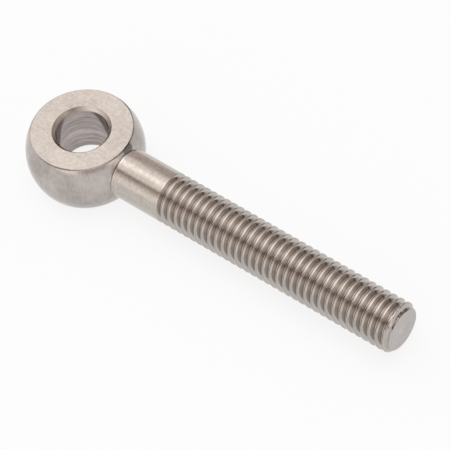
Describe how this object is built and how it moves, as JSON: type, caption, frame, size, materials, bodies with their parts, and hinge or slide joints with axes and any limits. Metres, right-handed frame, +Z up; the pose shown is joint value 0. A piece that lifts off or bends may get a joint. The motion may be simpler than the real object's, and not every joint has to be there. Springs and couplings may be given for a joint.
{
  "type": "rod end eye bolt",
  "caption": "Eye bolt turned from bar: a ball eye with milled flats and a cross bore, on a long shank with a plain neck, a metric thread and a chamfered tip.",
  "frame": {"origin": "centre of the eye: on the axis of the bore, midway between the two flats", "axes": "+X along the shank towards the threaded tip, +Z up along the bore's axis, so the bolt lies on a flat of its eye; +Y completes the right-handed set"},
  "size_m": [0.0675, 0.018, 0.009],
  "materials": {
    "turned_steel": "bare stainless steel: ground flats, turned ball and shank, cut thread"
  },
  "bodies": {
    "root": {"eye_bolt": "turned_steel"}
  },
  "joints": []
}
